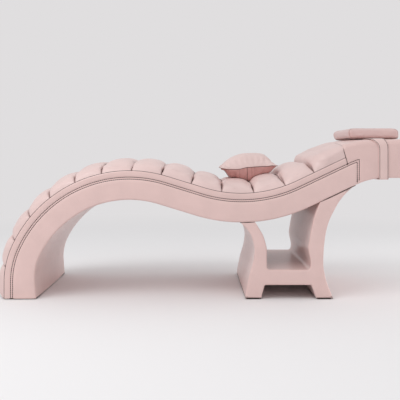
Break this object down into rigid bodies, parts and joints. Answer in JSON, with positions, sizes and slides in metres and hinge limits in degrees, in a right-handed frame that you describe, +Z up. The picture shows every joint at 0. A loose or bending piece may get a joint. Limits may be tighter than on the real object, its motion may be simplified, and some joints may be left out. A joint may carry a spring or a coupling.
{
  "type": "eyelash extension bed",
  "caption": "Wave-shaped upholstered treatment bed with puffy cross channels, an hourglass base with a shelf, a strapped head pillow and a loose square cushion.",
  "frame": {"origin": "on the floor, under the middle of the bed's bounding box", "axes": "+X towards the head end, along the bed; +Y across the bed; +Z up"},
  "size_m": [1.912, 0.6566, 0.7723],
  "materials": {
    "quilted_leather": "satin",
    "leather": "satin",
    "cushion_leather": "satin",
    "foam": "matte",
    "plywood": "matte",
    "steel": "satin",
    "rubber": "matte",
    "hook_and_loop": "matte"
  },
  "bodies": {
    "bed": {"channel_pad_01": "quilted_leather", "channel_pad_02": "quilted_leather", "channel_pad_03": "quilted_leather", "channel_pad_04": "quilted_leather", "channel_pad_05": "quilted_leather", "channel_pad_06": "quilted_leather", "channel_pad_07": "quilted_leather", "channel_pad_08": "quilted_leather", "channel_pad_09": "quilted_leather", "channel_pad_10": "quilted_leather", "channel_pad_11": "quilted_leather", "channel_pad_12": "quilted_leather", "channel_pad_13": "quilted_leather", "channel_pad_14": "quilted_leather", "channel_backing": "foam", "deck_foam": "foam", "deck_panel": "plywood", "rib_near": "plywood", "rib_centre": "plywood", "rib_far": "plywood", "cross_battens": "plywood", "batten_screws": "steel", "belly_panel": "plywood", "foot_board": "plywood", "head_end_board": "plywood", "side_foam_near": "foam", "side_foam_far": "foam", "side_band_near": "leather", "side_band_far": "leather", "side_panel_near": "leather", "side_panel_far": "leather", "underside_cover": "leather", "head_pad": "foam", "head_end_foam": "foam", "head_cover": "quilted_leather", "base_frame_near": "plywood", "base_frame_far": "plywood", "base_panel_foot_side": "plywood", "base_panel_head_side": "plywood", "base_lining_panel": "plywood", "base_floor_panel": "plywood", "base_cleats": "plywood", "base_foot_blocks": "plywood", "base_bolts": "steel", "base_nuts": "steel", "base_side_cover_near": "leather", "base_side_cover_far": "leather", "base_wrap_foot_side": "leather", "base_wrap_head_side": "leather", "base_lining_cover": "leather", "base_floor_cover": "leather", "foot_glides": "rubber", "base_glides": "rubber"},
    "pillow": {"head_pillow": "cushion_leather", "head_pillow_strap": "leather", "strap_patch": "hook_and_loop"},
    "cushion": {"loose_cushion": "cushion_leather"}
  },
  "joints": [
    {"name": "head_pillow_slide", "type": "slide", "parent": "bed", "child": "pillow", "axis": [1, 0, 0], "range_m": [-0.015, 0.025]},
    {"name": "loose_cushion_lift", "type": "slide", "parent": "bed", "child": "cushion", "axis": [0, 0, 1], "range_m": [0, 0.15]}
  ]
}
